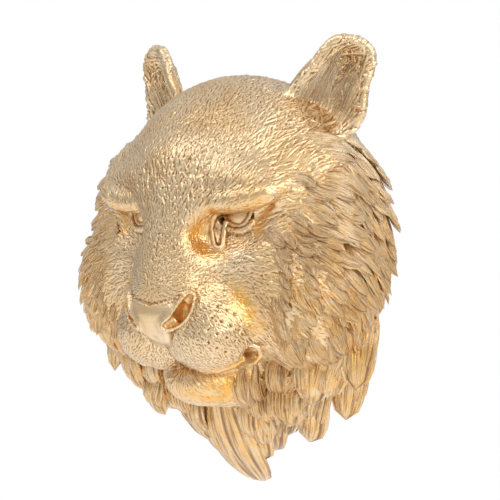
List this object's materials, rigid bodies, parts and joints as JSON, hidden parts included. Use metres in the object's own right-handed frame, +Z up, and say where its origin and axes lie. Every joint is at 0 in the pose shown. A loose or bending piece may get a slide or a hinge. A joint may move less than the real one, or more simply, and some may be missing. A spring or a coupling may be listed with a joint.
{
  "type": "tiger head wall sculpture",
  "caption": "Tiger head wall sculpture cast in one piece, with a ruff of carved fur locks and a flat back with a hanging keyhole.",
  "frame": {"origin": "on the flat back face, on the head's middle line, 46 mm below the entry of the hanging keyhole", "axes": "+Z up, +Y into the wall, the head looks along -Y and its left side is +X"},
  "size_m": [0.2614, 0.169, 0.3326],
  "materials": {
    "gold_paint": "bright gold paint on cast resin, darker and more amber in the recesses"
  },
  "bodies": {
    "root": {"tiger_head": "gold_paint"}
  },
  "joints": []
}
